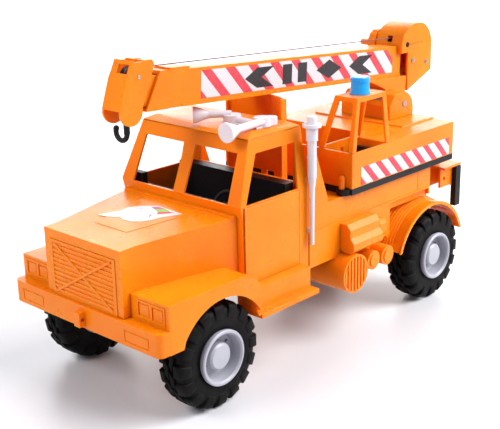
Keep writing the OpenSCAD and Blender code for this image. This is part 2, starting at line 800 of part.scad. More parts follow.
module boom_sleeve() {
  front_y = -152;
  rear_y = 184;
  h = sleeve_half_h;
  color(orange) difference() {
    union() {
      boom_frame() {
        side_profile([[front_y - 5.5, -h], [front_y + 9, h], [rear_y, h], [rear_y, -h]],
                     -sleeve_half, sleeve_half);
        // Bottom ledge, collar round the mouth and the stop rib on top
        block([-sleeve_half - 0.8, -120, -h], [sleeve_half + 0.8, rear_y, -h + 2]);
        side_profile([[front_y - 5.5, -h - 0.4], [front_y + 9, h + 0.4], [-134, h + 0.4], [-134, -h - 0.4]],
                     -sleeve_half - 0.4, sleeve_half + 0.4);
        block([-9.5, -131, h], [9.5, -110, h + 1.8]);
      }
      difference() {
        boom_lug();
        boom_frame() block([-20, 60, -h + 0.01], [20, 200, 40]);
      }
    }
    // Bore of the sleeve
    boom_frame() block([-sleeve_half + 1.8, -170, -h + 2.2], [sleeve_half - 1.8, rear_y - 14, h - 2.2]);
    bar_x(luff_pin_r + pin_fit, -lug_half - 1, lug_half + 1, luff_y, luff_z);
    // Room for the winch drum
    block([-20, drum_room_y, drum_room_z], [20, 200, 262]);
    // The lug is moulded as two cheeks
    side_profile([[118, 208], [150, 196], [168, 196], [176, 206], [176, 180], [150, 170], [110, 200]],
                 -lug_half + 4, lug_half - 4);
  }
}

// Outline of the winch housing: a drum cover with a rounded top
housing_outline = concat(
  [[189.2, 192], [231.5, 208.5], [231.5, 240]],
  arc([207.5, 235], 24, 12, 78, 8),
  [[200, 259], [189, 255], [181.5, 249], [drum_room_y + 0.2, 240], [drum_room_y + 0.2, drum_room_z + 0.2],
   [189.2, drum_room_z + 0.2]]
);
housing_inside = concat(
  [[189.2, 197], [229, 211], [229, 240]],
  arc([207.5, 235], 21.6, 12, 78, 8),
  [[200, 256.5], [190.5, 252.5], [183.4, 247.5], [180, 240], [180, drum_room_z - 10], [189.2, drum_room_z - 10]]
);

module winch_housing() {
  color(orange) difference() {
    side_profile(housing_outline, -housing_half, housing_half);
    side_profile(housing_inside, -housing_half + wall, housing_half - wall);
    // Slot where the hoist line comes in, and the bores of the winch shaft
    block([-3, 170, 241.5], [3, 186, 247.5]);
    bar_x(shaft_r + pin_fit, -housing_half - 1, housing_half + 1, winch_y, winch_z);
  }
}

module boom_labels() {
  color(red) both_sides() boom_frame()
    side_profile([[-98, -10.6], [-98, 12.4], [160, 12.4], [170, 3], [170, -10.6]],
                 sleeve_half, sleeve_half + skin);
}

module boom_screws() {
  color(grey) for (p = [[198, 222], [222, 218]]) difference() {
    bar_x(2.2, housing_half + 0.02, housing_half + 1.1, p[0], p[1]);
    bar_x(1.1, housing_half + 0.5, housing_half + 2, p[0], p[1], $fn = 6);
  }
}

// The hoist line runs straight from the drum to the head pulley, above the boom
module hoist_line() {
  y0 = pulley_y;
  z0 = pulley_z + groove_r + line_r + line_gap;
  y1 = winch_y;
  z1 = winch_z + drum_r + line_r + line_gap;
  angle = atan2(z1 - z0, y1 - y0);
  color(black) translate([0, y0, z0]) rotate([-90 + angle, 0, 0])
    cylinder(r = line_r, h = norm([y1 - y0, z1 - z0]), $fn = 16);
}

// ---- extension ----

module inner_boom() {
  color(orange) boom_frame() difference() {
    block([-inner_half, -157, -inner_half_h], [inner_half, 118, inner_half_h]);
    block([-inner_half + 1.8, -150, -inner_half_h + 1.8], [inner_half - 1.8, 120, inner_half_h - 1.8]);
  }
}

// Outline of the head's two cheeks, rounded at the bottom
head_outline = concat(
  [[-169, 268.6], [-150, 268.2], [-147.3, 265]],
  [[-152, 254.8], [-161.6, 233]],
  arc([-173, 231.5], 11.5, 4, -176, 16),
  [[-180, 246], [-176, 256.8]]
);
// Front plate between the cheeks, which turns back to a slanted top plate
head_front = [
  [-184.4, 233], [-180, 246], [-176, 256.8], [-173, 262], [-169, 270], [-167, 269.4], [-171, 261.4],
  [-174, 256.2], [-178, 245.4], [-182.4, 233]
];
// Ledge between the cheeks at the top of the head
head_ledge = [[-158, 269.3], [-149.6, 268.9], [-147.3, 265.4], [-149.5, 264.8], [-151, 266.8], [-158, 267.2]];

module boom_head() {
  cheek_t = 2;
  color(orange) difference() {
    union() {
      both_sides() side_profile(head_outline, head_half - cheek_t, head_half);
      side_profile(head_front, -head_half, head_half);
      side_profile(head_ledge, -head_half, head_half);
    }
    // Slot over the pulley, way in for the hoist line, and the bores of the pulley pin
    block([-4, -180, 260], [8, -160, 267]);
    block([-1.5, -162, 255], [1.5, -140, 280]);
    bar_x(1.5 + 0.02, -head_half - 1, head_half + 1, pulley_y, pulley_z);
  }
}

module pulley_pin() {
  color(grey) {
    bar_x(1.5, -head_half - 0.3, head_half + 0.3, pulley_y, pulley_z);
  }
}

module head_pulley() {
  color(black) translate([0, pulley_y, pulley_z]) rotate([0, 90, 0]) rotate_extrude() polygon([
    [1.5 + pin_fit, -3.5], [flange_r, -3.5], [flange_r, -2.3], [groove_r, -0.7],
    [groove_r, 0.7], [flange_r, 2.3], [flange_r, 3.5], [1.5 + pin_fit, 3.5]
  ]);
}

// ---- winch ----

module winch_drum() {
  color(black) {
    bar_x(drum_r, -12.8, 12.8, winch_y, winch_z);
    for (x = [-12.8, 10.8]) bar_x(drum_flange_r, x, x + 2, winch_y, winch_z);
    bar_x(shaft_r, -22, housing_half + 0.4, winch_y, winch_z);
  }
}

module crank_knob() {
  notches = 12;
  color(orange) difference() {
    union() {
      bar_x(knob_r, -24, -housing_half - 0.8, winch_y, winch_z);
      bar_x(3, -34, -23.9, winch_y - 8.5, winch_z);
    }
    bar_x(shaft_r + 0.02, -22.2, -10, winch_y, winch_z);
    for (i = [0:notches - 1]) translate([-25, winch_y, winch_z]) rotate([360 / notches * i, 0, 0])
      translate([0, knob_r + 1.2, 0]) rotate([0, 90, 0]) cylinder(r = 2, h = 9, $fn = 24);
  }
}

// ---- hook ----

module hook() {
  tip_a = 158;
  tip_r = hook_wire_r + 0.3;
  stem_r = hook_wire_r + 0.4;
  eye_r = stem_r + 0.8;
  bore_r = line_r + 0.25;
  eye_h = hook_eye_z - hook_mid_z;
  neck_a = -acos(stem_r / eye_r);
  top_a = acos(bore_r / eye_r);
  color(black) translate([-hook_ring_r, hook_y, hook_mid_z]) {
    rotate([90, 0, 0]) rotate([0, 0, tip_a]) rotate_extrude(angle = 360 - tip_a, $fn = 40)
      translate([hook_ring_r, 0]) circle(r = hook_wire_r, $fn = 24);
    translate([hook_ring_r * cos(tip_a), 0, hook_ring_r * sin(tip_a)]) sphere(r = tip_r, $fn = 24);
    // Stem and bored eye
    translate([hook_ring_r, 0, 0]) rotate_extrude() polygon(concat(
      [[0, -0.6], [stem_r, -0.6]],
      arc([0, eye_h], eye_r, neck_a, top_a, 10),
      [[bore_r, eye_h - 5.5], [0, eye_h - 5.5]]
    ));
  }
}

// End of the hoist line inside the hook's eye
module hook_line() {
  color(black) translate([0, hook_y, hook_eye_z - 5]) cylinder(r = line_r, h = 9, $fn = 16);
}

// The hoist line from the head pulley down to the hook's eye
module head_line() {
  z0 = hook_eye_z + 4.2;
  color(black) translate([0, hook_y, z0]) cylinder(r = line_r, h = pulley_z - z0, $fn = 16);
}

chassis();
cab_shell();
cab_roof();
door_left();
mirror([1, 0, 0]) door_left();  // door_right
cab_seat();
hood();
grille();
front_bumper();
front_fender_left();
mirror([1, 0, 0]) front_fender_left();  // front_fender_right
headlamp_left();
mirror([1, 0, 0]) headlamp_left();  // headlamp_right
step_left();
mirror([1, 0, 0]) step_left();  // step_right
roof_horns();
exhaust_stack();
boom_rest();
air_tank();
battery_box();
brake_reservoirs();
rear_fender_left();
mirror([1, 0, 0]) rear_fender_left();  // rear_fender_right
rear_light_panel();
slew_cap();
hood_label();
axle(front_axle_y);  // front_axle
hub_at(front_axle_y, 1);  // hub_front_left
hub_at(front_axle_y, -1);  // hub_front_right
tyre_at(front_axle_y, 1);  // tyre_front_left
tyre_at(front_axle_y, -1);  // tyre_front_right
axle(rear_axle_y);  // rear_axle
hub_at(rear_axle_y, 1);  // hub_rear_left
hub_at(rear_axle_y, -1);  // hub_rear_right
tyre_at(rear_axle_y, 1);  // tyre_rear_left
tyre_at(rear_axle_y, -1);  // tyre_rear_right
turret_body();
turret_skirt();
lock_peg();
crane_cab();
crane_cab_seat();
beacon();
boom_pedestal();
luff_pin();
turret_labels();
boom_sleeve();
winch_housing();
boom_labels();
boom_screws();
hoist_line();
inner_boom();
boom_head();
pulley_pin();
head_pulley();
winch_drum();
crank_knob();
hook();
hook_line();
head_line();
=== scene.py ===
"""Looks of the toy crane truck: plastic, tyres, labels, hoist line, light and camera."""
import json
import math

import bmesh
import bpy
from mathutils import Matrix, Vector

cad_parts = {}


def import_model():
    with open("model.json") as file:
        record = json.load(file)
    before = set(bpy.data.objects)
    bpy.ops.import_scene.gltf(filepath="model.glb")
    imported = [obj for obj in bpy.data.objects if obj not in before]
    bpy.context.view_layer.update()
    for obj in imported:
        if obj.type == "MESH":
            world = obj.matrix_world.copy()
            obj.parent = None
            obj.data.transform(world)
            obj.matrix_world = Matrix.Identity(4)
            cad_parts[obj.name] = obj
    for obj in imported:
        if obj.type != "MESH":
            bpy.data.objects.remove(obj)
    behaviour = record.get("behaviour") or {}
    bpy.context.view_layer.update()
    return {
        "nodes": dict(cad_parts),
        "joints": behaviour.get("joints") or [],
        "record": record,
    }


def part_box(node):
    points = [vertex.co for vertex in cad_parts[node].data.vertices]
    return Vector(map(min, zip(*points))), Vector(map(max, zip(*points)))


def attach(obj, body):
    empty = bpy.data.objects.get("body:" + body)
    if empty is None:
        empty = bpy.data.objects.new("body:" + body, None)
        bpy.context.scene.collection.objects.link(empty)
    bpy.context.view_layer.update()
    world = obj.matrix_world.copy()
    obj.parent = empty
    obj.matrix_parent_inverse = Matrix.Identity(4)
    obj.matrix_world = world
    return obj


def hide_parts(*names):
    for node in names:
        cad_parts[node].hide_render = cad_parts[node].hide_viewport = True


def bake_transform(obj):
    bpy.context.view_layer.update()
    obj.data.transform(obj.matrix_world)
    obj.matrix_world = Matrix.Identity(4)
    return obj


MM = 0.001

# ---- colours, as linear light ----
ORANGE = (0.80, 0.205, 0.0015)
ORANGE_DEEP = (0.77, 0.172, 0.001)
BLACK = (0.008, 0.007, 0.008)
BLACK_DEEP = (0.004, 0.004, 0.005)
TYRE = (0.0030, 0.0024, 0.0024)
TYRE_DUST = (0.009, 0.008, 0.008)
GREY = (0.37, 0.37, 0.42)
GREY_DEEP = (0.33, 0.33, 0.38)
WHITE = (0.62, 0.60, 0.65)
WHITE_DEEP = (0.58, 0.54, 0.59)
BLUE = (0.004, 0.33, 0.80)
BLUE_DEEP = (0.002, 0.22, 0.70)
RED = (0.56, 0.018, 0.040)
LABEL_WHITE = (0.58, 0.57, 0.59)
STEEL = (0.55, 0.55, 0.57)
STEEL_DEEP = (0.30, 0.30, 0.32)
# The cord's colour with painted shade for the grooves between strands, and with a painted highlight for
# their crests
CORD_GROOVE_SHADE = (0.055, 0.018, 0.028)
CORD_CREST_HIGHLIGHT = (0.20, 0.07, 0.10)
FILM_WORN = (0.45, 0.41, 0.43)
FLOOR_LIGHT = (0.64, 0.64, 0.665)
FLOOR_DARK = (0.62, 0.62, 0.65)
INKS = {
    "ink_black": (0.012, 0.010, 0.012),
    "ink_magenta": (0.42, 0.02, 0.20),
    "ink_green": (0.17, 0.45, 0.03),
    "ink_red": (0.70, 0.02, 0.02),
    "ink_slate": (0.30, 0.36, 0.52),
    "ink_pink": (0.62, 0.34, 0.40),
}

# ---- surfaces ----
PLASTIC_IOR = 1.49
# How far red, green and blue light spreads inside translucent plastic
GLOW_REACH = (1.0, 0.13, 0.02)
GLOW_DEPTH = 7 * MM
# Handling scratches are a noise that is squeezed across them and drawn out along them
SCRATCH_TURN = (0.5, 0.9, 0.4)
SCRATCH_STRETCH = (1500.0, 46.0, 900.0)
# Most of a noise texture's strength lies in this range
MIDDLE = (0.3, 0.7)

# ---- the boom's own frame ----
BOOM_TILT = math.radians(3.6)
BOOM_MID_Z = 234.4 * MM


# ---- node graphs ----

# A Mix node's sockets when it mixes colours
MIX_FACTOR = 0
MIX_A = 6
MIX_B = 7
MIX_RESULT = 2


def new_material(name):
    """A material with a Principled shader: returns the material, its tree and the shader."""
    material = bpy.data.materials.new(name)
    material.use_nodes = True
    tree = material.node_tree
    return material, tree, tree.nodes["Principled BSDF"]


def add_node(tree, kind, properties=None, **inputs):
    """A node of that kind. A value is set on an input, and a socket is linked to it.
    An input goes by its name, with _ for a space, or by i and its number."""
    node = tree.nodes.new(kind)
    for key, value in (properties or {}).items():
        setattr(node, key, value)
    for key, value in inputs.items():
        socket = node.inputs[int(key[1:]) if key[1:].isdigit() else key.replace("_", " ")]
        if isinstance(value, bpy.types.NodeSocket):
            tree.links.new(value, socket)
        else:
            socket.default_value = value
    return node


def rgba(colour):
    """The colour with full alpha."""
    return (*colour, 1.0)


def math_node(tree, operation, a, b=0.0):
    """The result socket of a Math node."""
    return add_node(tree, "ShaderNodeMath", {"operation": operation}, i0=a, i1=b).outputs[0]


def remap(tree, value, source, target=(0.0, 1.0)):
    """The value carried from the source range to the target range, and held inside it."""
    node = add_node(tree, "ShaderNodeMapRange", None, Value=value, From_Min=source[0],
                    From_Max=source[1], To_Min=target[0], To_Max=target[1])
    return node.outputs["Result"]


def noise(tree, vector, scale, detail=3.0):
    """The strength socket of a noise texture."""
    node = add_node(tree, "ShaderNodeTexNoise", None, Vector=vector, Scale=scale, Detail=detail)
    return node.outputs["Fac"]


def mix_colour(tree, factor, a, b):
    """The colour between a and b, each a colour or a socket. The factor is a socket."""
    node = add_node(tree, "ShaderNodeMix", {"data_type": "RGBA"})
    tree.links.new(factor, node.inputs[MIX_FACTOR])
    for index, value in ((MIX_A, a), (MIX_B, b)):
        if isinstance(value, bpy.types.NodeSocket):
            tree.links.new(value, node.inputs[index])
        else:
            node.inputs[index].default_value = rgba(value)
    return node.outputs[MIX_RESULT]


def bump(tree, height, strength, distance, normal=None):
    """The normal socket of a Bump node."""
    node = add_node(tree, "ShaderNodeBump", None, Strength=strength, Distance=distance, Height=height)
    if normal is not None:
        tree.links.new(normal, node.inputs["Normal"])
    return node.outputs["Normal"]


def object_coordinates(tree):
    """Places on the piece, in metres."""
    return add_node(tree, "ShaderNodeTexCoord").outputs["Object"]


def surface_detail(tree, shader, place, rough, waviness, grain):
    """Uneven gloss, gentle sink marks, fine grain and handling scratches of a moulded surface."""
    blotch_share = 0.7
    blotches = noise(tree, place, scale=34.0, detail=4.0)
    smears = noise(tree, place, scale=210.0, detail=2.0)
    worn = math_node(tree, "ADD", math_node(tree, "MULTIPLY", blotches, blotch_share),
                     math_node(tree, "MULTIPLY", smears, 1.0 - blotch_share))
    tree.links.new(remap(tree, worn, (0.35, 0.65), rough), shader.inputs["Roughness"])
    stretched = add_node(tree, "ShaderNodeMapping", None, Vector=place, Rotation=SCRATCH_TURN,
                         Scale=SCRATCH_STRETCH)
    streaks = noise(tree, stretched.outputs[0], scale=1.0, detail=1.0)
    scratches = remap(tree, streaks, (0.70, 0.80))
    hollows = noise(tree, place, scale=46.0, detail=2.0)
    sinks = bump(tree, hollows, strength=waviness, distance=1.2 * MM)
    specks = noise(tree, place, scale=2300.0, detail=2.0)
    pits = bump(tree, specks, strength=grain, distance=0.12 * MM, normal=sinks)
    scored = bump(tree, scratches, strength=0.10, distance=-0.08 * MM, normal=pits)
    tree.links.new(scored, shader.inputs["Normal"])


def lightened(colour, gain):
    """The colour, a little lighter, so that black gets lighter too."""
    return tuple(min(1.0, channel * gain + 0.01) for channel in colour)


def moulded_plastic(name, colour, deep, rough, grain=0.16, glow=0.0, gloss=0.5):
    """Injection-moulded plastic: the colour drifts between two tones and has fine lighter flecks.
    Glow is how much light goes in and comes out again, and gloss is how strong its mirror is."""
    material, tree, shader = new_material(name)
    place = object_coordinates(tree)
    drift = remap(tree, noise(tree, place, scale=17.0), (0.38, 0.64))
    flecks = remap(tree, noise(tree, place, scale=900.0, detail=1.0), (0.30, 0.72), (0.0, 0.22))
    tone = mix_colour(tree, drift, colour, deep)
    fleck_colour = lightened(colour, 1.12)
    tree.links.new(mix_colour(tree, flecks, tone, fleck_colour), shader.inputs["Base Color"])
    surface_detail(tree, shader, place, rough, waviness=0.10, grain=grain)
    shader.inputs["IOR"].default_value = PLASTIC_IOR
    shader.inputs["Specular IOR Level"].default_value = gloss
    if glow > 0:
        shader.inputs["Subsurface Weight"].default_value = glow
        shader.inputs["Subsurface Radius"].default_value = GLOW_REACH
        shader.inputs["Subsurface Scale"].default_value = GLOW_DEPTH
    return material


def steel_material():
    """Drawn steel wire: dull, with fine marks along its length."""
    material, tree, shader = new_material("drawn_steel")
    place = object_coordinates(tree)
    along = add_node(tree, "ShaderNodeMapping", None, Vector=place, Scale=(60.0, 1800.0, 1800.0))
    marks = noise(tree, along.outputs[0], scale=1.0)
    shade = remap(tree, marks, MIDDLE)
    tree.links.new(mix_colour(tree, shade, STEEL, STEEL_DEEP), shader.inputs["Base Color"])
    tree.links.new(remap(tree, marks, MIDDLE, (0.26, 0.5)), shader.inputs["Roughness"])
    drawn = bump(tree, marks, strength=0.12, distance=0.08 * MM)
    tree.links.new(drawn, shader.inputs["Normal"])
    shader.inputs["Metallic"].default_value = 1.0
    return material


def tyre_material():
    """Soft blow-moulded tyre plastic with dust in its grain."""
    material, tree, shader = new_material("tyre_plastic")
    place = object_coordinates(tree)
    dust = remap(tree, noise(tree, place, scale=120.0, detail=5.0), (0.45, 0.75), (0.0, 0.55))
    tree.links.new(mix_colour(tree, dust, TYRE, TYRE_DUST), shader.inputs["Base Color"])
    surface_detail(tree, shader, place, rough=(0.42, 0.62), waviness=0.16, grain=0.45)
    shader.inputs["Specular IOR Level"].default_value = 0.10
    return material


def cord_material():
    """Twisted thread: slanted strands round the line, painted darker in the grooves between them and
    lighter on their crests.
    """
    material, tree, shader = new_material("twisted_cord")
    place = object_coordinates(tree)
    # How fast the strands go by, across the line and along it, in radians a metre
    across, along = 3800.0, 2600.0
    parts = add_node(tree, "ShaderNodeSeparateXYZ", None, Vector=place)
    twist = math_node(tree, "ADD", math_node(tree, "MULTIPLY", parts.outputs[0], across),
                      math_node(tree, "MULTIPLY", parts.outputs[1], along))
    rise = math_node(tree, "MULTIPLY", parts.outputs[2], along)
    strands = math_node(tree, "SINE", math_node(tree, "ADD", twist, rise))
    # Painted shade and highlight: the colour darkens where the strands' bump sinks and lightens where it
    # rises
    shade = remap(tree, strands, (-1.0, 1.0))
    tree.links.new(mix_colour(tree, shade, CORD_GROOVE_SHADE, CORD_CREST_HIGHLIGHT), shader.inputs["Base Color"])
    tree.links.new(bump(tree, strands, strength=0.6, distance=0.2 * MM), shader.inputs["Normal"])
    shader.inputs["Roughness"].default_value = 0.78
    shader.inputs["Sheen Weight"].default_value = 0.25
    return material


def printed_film(tree, shader, place, colour, wear):
    """Film stuck on plastic: printed colour, ink mottle, faint bubbles and a satin gloss."""
    mottle = remap(tree, noise(tree, place, scale=700.0), MIDDLE, (0.0, wear))
    tree.links.new(mix_colour(tree, mottle, colour, FILM_WORN), shader.inputs["Base Color"])
    swellings = noise(tree, place, scale=75.0, detail=2.0)
    bubbles = bump(tree, swellings, strength=0.22, distance=0.6 * MM)
    specks = noise(tree, place, scale=1500.0, detail=2.0)
    grain = bump(tree, specks, strength=0.08, distance=0.1 * MM, normal=bubbles)
    tree.links.new(grain, shader.inputs["Normal"])
    satin = remap(tree, noise(tree, place, scale=60.0), (0.35, 0.65), (0.26, 0.42))
    tree.links.new(satin, shader.inputs["Roughness"])
    shader.inputs["Specular IOR Level"].default_value = 0.35


def striped_label(name, period, share, start, origin=(0.0, 0.0, 0.0), tilt=0.0):
    """White film with red stripes that slant back as they go down.
    They repeat every period, red takes that share of it, and start is where one begins at height 0.
    The stripes run in a frame that stands at the origin, tipped about X by tilt."""
    material, tree, shader = new_material(name)
    place = object_coordinates(tree)
    local = add_node(tree, "ShaderNodeMapping", {"vector_type": "TEXTURE"}, Vector=place,
                     Location=origin, Rotation=(tilt, 0.0, 0.0))
    parts = add_node(tree, "ShaderNodeSeparateXYZ", None, Vector=local.outputs[0])
    diagonal = math_node(tree, "ADD", parts.outputs[1], parts.outputs[2])
    slanted = math_node(tree, "ADD", diagonal, -start)
    phase = math_node(tree, "FLOORED_MODULO", math_node(tree, "DIVIDE", slanted, period), 1.0)
    red = math_node(tree, "LESS_THAN", phase, share)
    printed_film(tree, shader, place, mix_colour(tree, red, LABEL_WHITE, RED), wear=0.14)
    return material


def ink_film(name, colour):
    """One printed colour of a label."""
    material, tree, shader = new_material(name)
    place = object_coordinates(tree)
    mottle = remap(tree, noise(tree, place, scale=500.0), MIDDLE, (0.0, 0.3))
    tone = mix_colour(tree, mottle, colour, lightened(colour, 1.5))
    printed_film(tree, shader, place, tone, wear=0.04)
    return material


def build_materials():
    """All the materials, by the record's slot names and a few of their own."""
    materials = {
        "orange_plastic": moulded_plastic("orange_plastic", ORANGE, ORANGE_DEEP, (0.24, 0.38),
                                          glow=0.5, gloss=0.24),
        "black_plastic": moulded_plastic("black_plastic", BLACK, BLACK_DEEP, (0.34, 0.52),
                                         grain=0.3, gloss=0.2),
        "grey_plastic": moulded_plastic("grey_plastic", GREY, GREY_DEEP, (0.28, 0.42)),
        "white_plastic": moulded_plastic("white_plastic", WHITE, WHITE_DEEP, (0.26, 0.38), glow=0.1),
        "blue_plastic": moulded_plastic("blue_plastic", BLUE, BLUE_DEEP, (0.18, 0.30), glow=0.1),
        "tyre_plastic": tyre_material(),
        "steel": steel_material(),
        "line": cord_material(),
        "boom_label": striped_label("boom_label", period=27.9 * MM, share=0.42, start=-85.6 * MM,
                                    origin=(0, 0, BOOM_MID_Z), tilt=-BOOM_TILT),
        "turret_label": striped_label("turret_label", period=18.9 * MM, share=0.46,
                                      start=188.2 * MM),
        "hood_label": ink_film("hood_label_film", LABEL_WHITE),
    }
    for name, colour in INKS.items():
        materials[name] = ink_film(name, colour)
    return materials


# ---- carried-over CAD nodes ----

# How far edges are rounded, in millimetres, and the nodes whose detail is too fine for it
EDGE_ROUND = 0.7
FINE_EDGE_ROUND = {
    "boom_labels": 0.05, "turret_labels": 0.05, "hood_label": 0.05,
    "hook": 0.1, "boom_screws": 0.15, "head_pulley": 0.2, "pulley_pin": 0.2,
    "grille": 0.3, "headlamp_left": 0.35, "headlamp_right": 0.35,
}
LABEL_MATERIALS = {
    "boom_labels": "boom_label",
    "turret_labels": "turret_label",
    "hood_label": "hood_label",
}


def add_bevel(piece, name, width, angle):
    """Rounds the edges that turn by more than the angle."""
    bevel = piece.modifiers.new(name, "BEVEL")
    bevel.width = width
    bevel.segments = 2
    bevel.limit_method = "ANGLE"
    bevel.angle_limit = angle


def round_edges(piece, width):
    """Joins the tessellation's split corners, rounds the sharp edges and smooths the shading."""
    weld = piece.modifiers.new("weld", "WELD")
    weld.merge_threshold = 0.01 * MM
    add_bevel(piece, "round_edges", width, math.radians(32))
    for polygon in piece.data.polygons:
        polygon.use_smooth = True
    normals = piece.modifiers.new("even_normals", "WEIGHTED_NORMAL")
    normals.keep_sharp = True
    normals.weight = 80


def dress_cad_nodes(frame, materials):
    """Every CAD node that stays gets its slot's material and rounded edges."""
    slots = {entry["node"]: entry["material_slot"] for entry in frame["record"]["subparts"]}
    for name, piece in frame["nodes"].items():
        material = materials[LABEL_MATERIALS.get(name, slots[name])]
        piece.data.materials.clear()
        piece.data.materials.append(material)
        round_edges(piece, FINE_EDGE_ROUND.get(name, EDGE_ROUND) * MM)


# ---- made pieces ----

def object_from_bmesh(name, shape, material, smooth=True):
    """A new piece made of a bmesh, which it frees."""
    mesh = bpy.data.meshes.new(name)
    bmesh.ops.recalc_face_normals(shape, faces=shape.faces)
    shape.to_mesh(mesh)
    shape.free()
    piece = bpy.data.objects.new(name, mesh)
    bpy.context.scene.collection.objects.link(piece)
    mesh.materials.append(material)
    for polygon in mesh.polygons:
        polygon.use_smooth = smooth
    return piece


def add_revolved(shape, outline, steps):
    """Adds an outline of (along the axis, radius) points, turned round X, to the shape.
    The first and last points are joined, so each turn closes into a ring."""
    rings = []
    for step in range(steps):
        turn = 2 * math.pi * step / steps
        rings.append([shape.verts.new((x, r * math.cos(turn), r * math.sin(turn))) for x, r in outline])
    count = len(outline)
    for step in range(steps):
        here, there = rings[step], rings[(step + 1) % steps]
        for i in range(count):
            j = (i + 1) % count
            shape.faces.new((here[i], here[j], there[j], there[i]))


def add_lug(shape, outer, inner, middle, half_top, half_base, skew):
    """Adds a tread block to the shape, centred on the angle middle.
    It follows the outer outline at its top and the inner one at its base, where half_top and half_base
    are half the angles that it spans. Skew is how far it turns from one end to the other."""
    rows = []
    count = len(outer)
    for i, ((top_x, top_r), (base_x, base_r)) in enumerate(zip(outer, inner)):
        turn = middle + skew * (i / (count - 1) - 0.5)
        corners = (
            (base_x, base_r, turn - half_base),
            (top_x, top_r, turn - half_top),
            (top_x, top_r, turn + half_top),
            (base_x, base_r, turn + half_base),
        )
        rows.append([shape.verts.new((x, r * math.cos(a), r * math.sin(a))) for x, r, a in corners])
    for here, there in zip(rows, rows[1:]):
        for i in range(len(here)):
            j = (i + 1) % len(here)
            shape.faces.new((here[i], here[j], there[j], there[i]))
    shape.faces.new(rows[0])
    shape.faces.new(list(reversed(rows[-1])))


# The tyre's outlines, as (distance from its middle plane, radius) in millimetres
CARCASS_HALF = [(5, 41.5), (9.5, 40.7), (12.3, 38.4), (13.4, 35), (13.7, 30), (13.4, 25.5), (12.6, 22.05)]
CARCASS = [(-x, r) for x, r in reversed(CARCASS_HALF)] + [(0, 41.7)] + CARCASS_HALF
SHOULDER_TOP = [(5.2, 44.15), (9.6, 43.7), (12.4, 42.3), (13.9, 39.2), (14.3, 35.2), (14.1, 32.6)]
SHOULDER_BASE = [(5.2, 41.0), (9.0, 40.2), (11.4, 38.4), (12.6, 35.8), (13.0, 33.6), (13.1, 31.6)]
CENTRE_TOP = [(0.5, 44.2), (2.4, 44.2), (4.3, 44.15)]
CENTRE_BASE = [(0.2, 41.0), (2.4, 41.0), (4.6, 41.0)]


def tyre(name, centre, material):
    """A block-tread tyre: a rounded carcass, two staggered rows of shoulder lugs, a zigzag centre row."""
    lugs = 16
    pitch = 2 * math.pi / lugs
    shape = bmesh.new()
    add_revolved(shape, CARCASS, steps=96)
    for side in (-1, 1):
        shoulder = [[(side * x, r) for x, r in outline] for outline in (SHOULDER_TOP, SHOULDER_BASE)]
        centre_row = [[(side * x, r) for x, r in outline] for outline in (CENTRE_TOP, CENTRE_BASE)]
        shift = 0.0 if side > 0 else pitch / 2
        for i in range(lugs):
            middle = i * pitch + shift
            add_lug(shape, *shoulder, middle, half_top=0.30 * pitch, half_base=0.36 * pitch,
                    skew=0.10 * pitch)
            add_lug(shape, *centre_row, middle + pitch / 2, half_top=0.33 * pitch,
                    half_base=0.38 * pitch, skew=0.25 * pitch * side)
    place = Matrix.Translation(centre) @ Matrix.Scale(MM, 4)
    bmesh.ops.transform(shape, matrix=place, verts=shape.verts)
    piece = object_from_bmesh(name, shape, material)
    add_bevel(piece, "soft_edges", 0.35 * MM, math.radians(34))
    return piece


def add_tyres(material):
    """The four tyres, each in place of its CAD ring."""
    for end in ("front", "rear"):
        for side in ("left", "right"):
            node = f"tyre_{end}_{side}"
            low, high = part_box(node)
            piece = tyre(f"tread_{end}_{side}", (low + high) / 2, material)
            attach(piece, f"{end}_wheelset")
            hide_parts(node)


def tube(name, points, radius, material, sides=10):
    """A round tube along the points."""
    shape = bmesh.new()
    rings = []
    for i, point in enumerate(points):
        ahead = points[min(i + 1, len(points) - 1)] - points[max(i - 1, 0)]
        turn = ahead.normalized().to_track_quat("Z", "X").to_matrix()
        ring = []
        for k in range(sides):
            angle = 2 * math.pi * k / sides
            spoke = turn @ Vector((math.cos(angle), math.sin(angle), 0))
            ring.append(shape.verts.new(point + spoke * radius))
        rings.append(ring)
    for here, there in zip(rings, rings[1:]):
        for k in range(sides):
            shape.faces.new((here[k], here[(k + 1) % sides], there[(k + 1) % sides], there[k]))
    shape.faces.new(rings[0])
    shape.faces.new(list(reversed(rings[-1])))
    return object_from_bmesh(name, shape, material)


def between(start, end, count):
    """Points from start to end, both included."""
    return [start.lerp(end, i / (count - 1)) for i in range(count)]


def joint_place(frame, name):
    """A point on the joint's axis."""
    for joint in frame["joints"]:
        if joint["name"] == name:
            return Vector(joint["pos_m"])
    raise ValueError(f"no joint named {name}")


